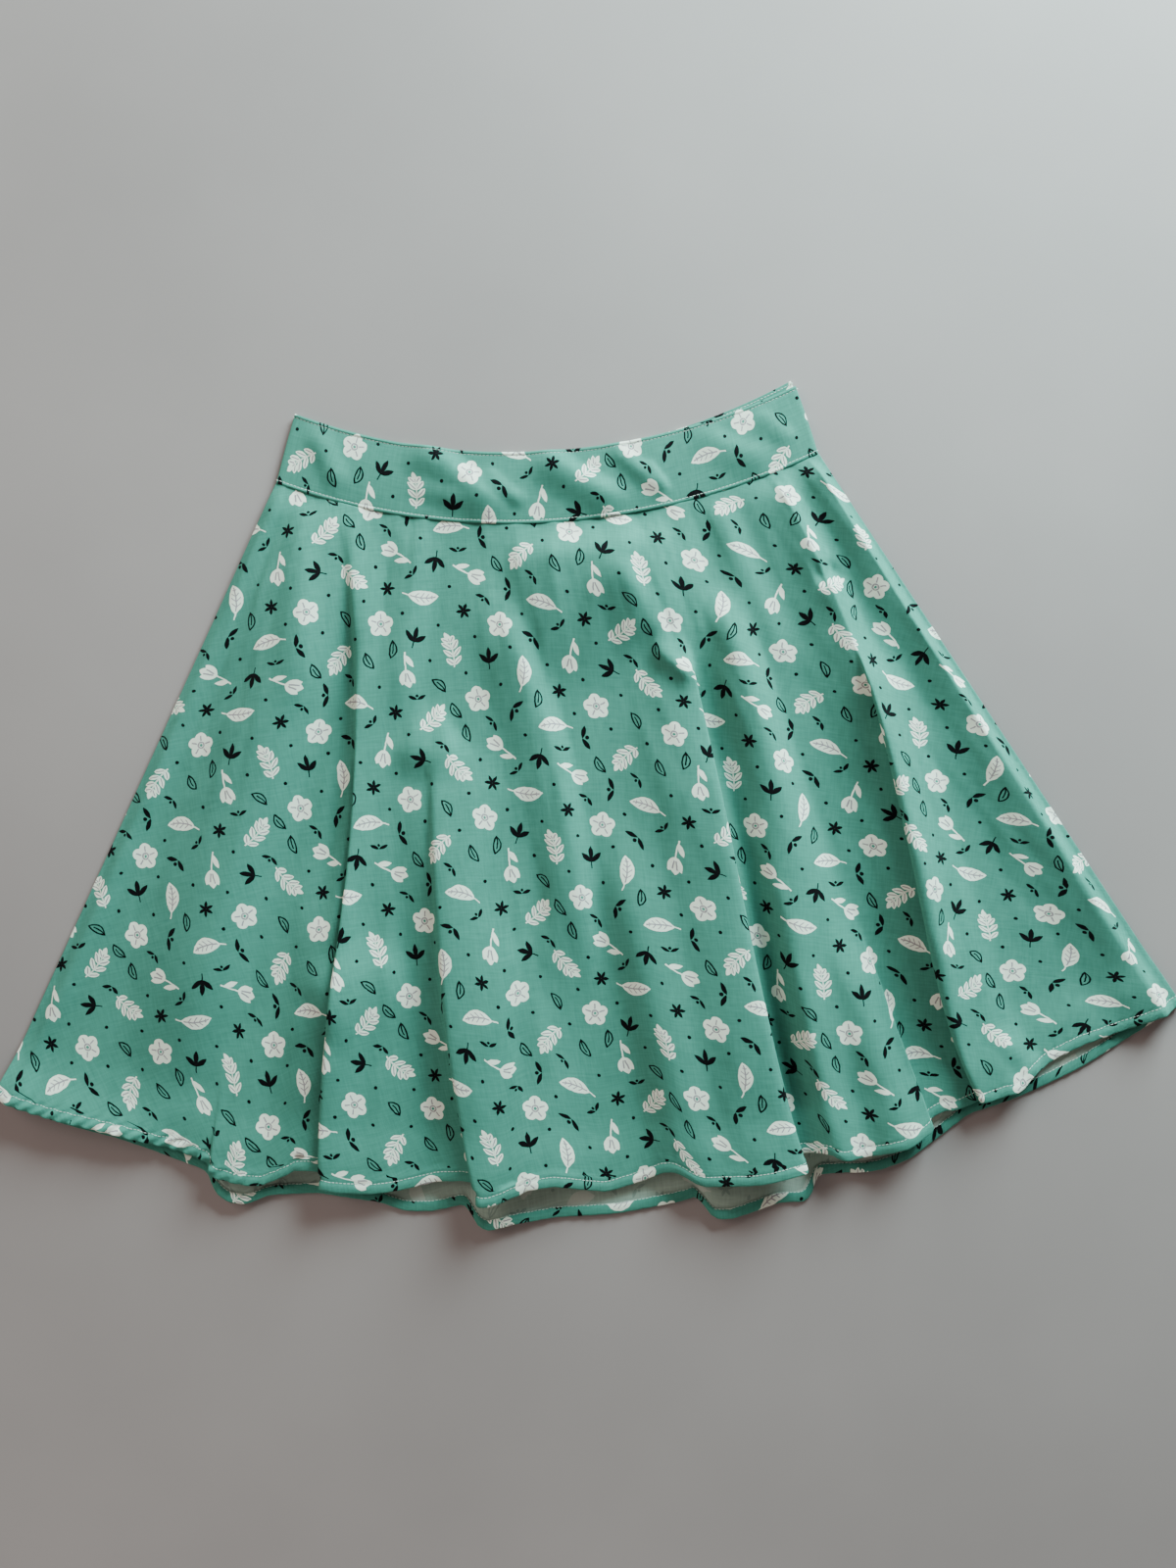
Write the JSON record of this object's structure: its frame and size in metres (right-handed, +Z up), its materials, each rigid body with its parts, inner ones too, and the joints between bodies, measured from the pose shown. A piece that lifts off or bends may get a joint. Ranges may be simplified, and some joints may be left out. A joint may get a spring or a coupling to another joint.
{
  "type": "circle skirt",
  "caption": "Circle skirt laid flat, front up: fitted curved waistband, quarter-ring front and back in soft folds, narrow turned-up hems.",
  "frame": {"origin": "centre of the laid skirt's outline, on the surface it lies on", "axes": "+Z up from the surface, +Y towards the waistband, +X towards the right of the front as it is seen from above"},
  "size_m": [0.8847, 0.6277, 0.0242],
  "materials": {
    "printed_cotton": "matte woven cotton",
    "cotton_inner_face": "matte woven cotton, paler inner face"
  },
  "bodies": {
    "root": {"skirt_front": "printed_cotton", "skirt_back": "cotton_inner_face", "hem_front": "printed_cotton", "hem_back": "printed_cotton", "waistband_front": "printed_cotton", "waistband_back": "cotton_inner_face"}
  },
  "joints": []
}
